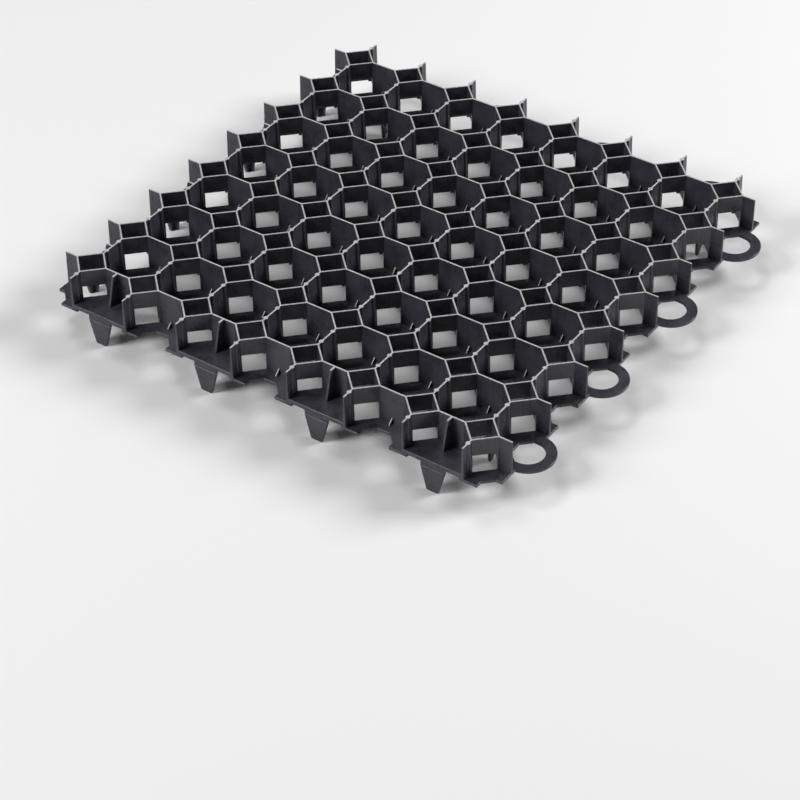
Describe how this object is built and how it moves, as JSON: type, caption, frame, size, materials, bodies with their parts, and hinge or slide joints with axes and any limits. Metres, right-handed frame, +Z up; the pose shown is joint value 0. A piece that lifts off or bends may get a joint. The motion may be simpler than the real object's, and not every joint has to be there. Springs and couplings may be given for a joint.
{
  "type": "grass paver grid",
  "caption": "Square moulded plastic ground grid with large eight-sided cells, turned square cells, pegs on two sides and rings on the other two.",
  "frame": {"origin": "centre of the overall outline, rings included, at the level of the peg tips", "axes": "+Z up out of the open cells, pegs on the -X and -Y sides, rings on the +X and +Y sides"},
  "size_m": [0.5228, 0.5228, 0.065],
  "materials": {
    "grid": "satin, recycled polyolefin"
  },
  "bodies": {
    "root": {"grid": "grid"}
  },
  "joints": []
}
